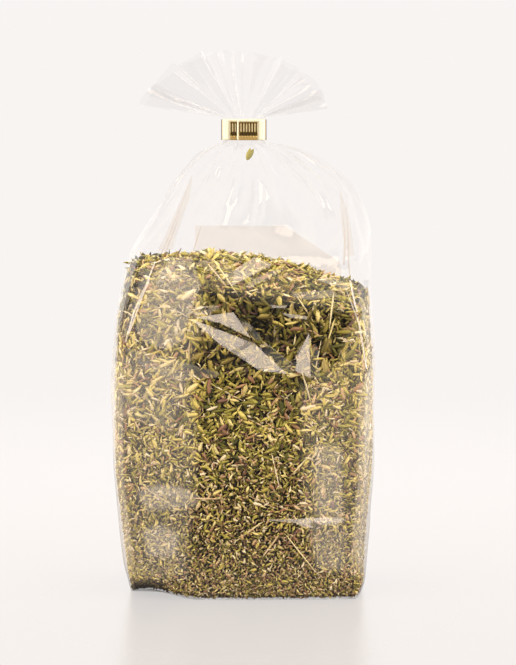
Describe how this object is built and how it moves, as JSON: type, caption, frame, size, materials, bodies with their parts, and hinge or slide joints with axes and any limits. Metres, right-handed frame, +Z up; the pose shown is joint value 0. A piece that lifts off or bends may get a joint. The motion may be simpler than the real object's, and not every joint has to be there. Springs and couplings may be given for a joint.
{
  "type": "bag of dried thyme",
  "caption": "Clear film bag with a flat base, full of dried thyme leaves, gathered at the neck by a ribbed gold clip under a fan of loose film.",
  "frame": {"origin": "middle of the base, on the surface that the bag stands on", "axes": "+Z up from the base to the fan of film, -Y out of the front where the clip's lap shows, +X to the right seen from the front"},
  "size_m": [0.1058, 0.0622, 0.2147],
  "materials": {
    "film": "clear polypropylene film, glossy and creased",
    "thyme": "dried leaf, matte, olive to straw",
    "gold": "gold metallised strip, glossy, stamped with ribs"
  },
  "bodies": {
    "root": {"bag_film": "film", "thyme_leaves": "thyme", "neck_leaf": "thyme", "clip_band": "gold"}
  },
  "joints": []
}
